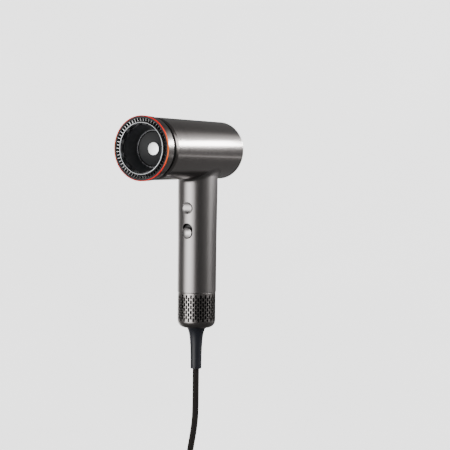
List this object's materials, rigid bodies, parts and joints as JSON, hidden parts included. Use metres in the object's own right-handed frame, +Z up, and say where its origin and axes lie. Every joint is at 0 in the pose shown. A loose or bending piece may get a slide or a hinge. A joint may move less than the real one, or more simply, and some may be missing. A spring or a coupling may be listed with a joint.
{
  "type": "hair dryer",
  "caption": "Hand-held hair dryer with a straight barrel head, ring outlet, round handle with a button and a slider, removable intake filter cover and a folded mains cord.",
  "frame": {"origin": "on the handle's axis, in the middle of the bare grip between the power slider and the filter cover", "axes": "+Z up along the handle to the head, the outlet faces -Y, +X to the left of the hand that holds it"},
  "size_m": [0.0682, 0.1583, 0.6051],
  "materials": {
    "brushed": "brushed along the ring direction, warm grey",
    "handle": "satin warm grey",
    "knob": "satin, a little lighter than the handle",
    "seal": "black",
    "light": "translucent red to orange, lit",
    "chrome": "polished",
    "grille": "satin dark grey",
    "liner": "satin dark grey",
    "cap": "satin silver",
    "mirror": "polished",
    "black_plastic": "moulded black",
    "board": "green solder mask",
    "steel": "bright",
    "alu": "machined",
    "mica": "mica sheet",
    "wire_alloy": "heating wire",
    "white_plastic": "white",
    "capacitor": "blue",
    "leads": "silicone insulation",
    "copper": "enamelled copper and laminated core",
    "soft_rubber": "soft-touch charcoal",
    "cord": "braided black and brown",
    "strap": "black silicone strap",
    "plug": "moulded black",
    "pins": "nickel plated"
  },
  "bodies": {
    "dryer": {"head_shell": "brushed", "front_collar": "brushed", "groove_seal": "seal", "light_ring": "light", "led_board": "board", "outlet_grille": "grille", "inner_trim_ring": "chrome", "bore_liner": "liner", "nozzle_key_ring": "liner", "cup_ring": "seal", "cup_dish": "liner", "centre_cap": "cap", "rear_bezel": "brushed", "rear_recess_ring": "seal", "rear_disc": "mirror", "rear_plate": "black_plastic", "rear_screws": "steel", "heater_sleeve": "mica", "heater_mount": "black_plastic", "heater_frame": "mica", "heater_coil": "wire_alloy", "thermostat": "black_plastic", "thermal_fuse": "white_plastic", "ion_emitter": "white_plastic", "handle_shell": "handle", "inner_frame": "black_plastic", "control_board": "board", "board_chips": "black_plastic", "mains_capacitor": "capacitor", "tact_switch": "black_plastic", "slide_switch": "black_plastic", "status_led": "white_plastic", "head_leads": "leads", "motor_housing": "black_plastic", "motor_mounts": "soft_rubber", "motor_stator": "copper", "bearings": "steel", "intake_core": "black_plastic", "filter_mesh": "steel", "cover_magnets": "steel", "cable_clamp": "black_plastic", "clamp_screws": "steel", "strain_relief": "soft_rubber", "cord_root": "cord", "cord_tube": "cord", "cord_hank": "cord", "cord_tie": "strap", "cord_tail": "cord", "plug_body": "plug", "plug_pins": "pins"},
    "heat_button": {"heat_button": "knob"},
    "power_slider": {"power_slider": "knob"},
    "filter_cover": {"filter_cover": "handle", "catch_ring": "steel"},
    "rotor": {"rotor_shaft": "steel", "impeller": "alu"}
  },
  "joints": [
    {"name": "heat_button_press", "type": "slide", "parent": "dryer", "child": "heat_button", "axis": [0, 1, 0], "range_m": [0, 0.0008], "stiffness_N_per_m": 3000, "springref_m": -0.0005},
    {"name": "power_slider_slide", "type": "slide", "parent": "dryer", "child": "power_slider", "axis": [0, 0, 1], "range_m": [0, 0.004]},
    {"name": "filter_cover_slide", "type": "slide", "parent": "dryer", "child": "filter_cover", "axis": [0, 0, -1], "range_m": [0, 0.05]},
    {"name": "rotor_spin", "type": "hinge", "parent": "dryer", "child": "rotor", "pos_m": [0, 0, 0], "axis": [0, 0, 1], "continuous": true}
  ]
}
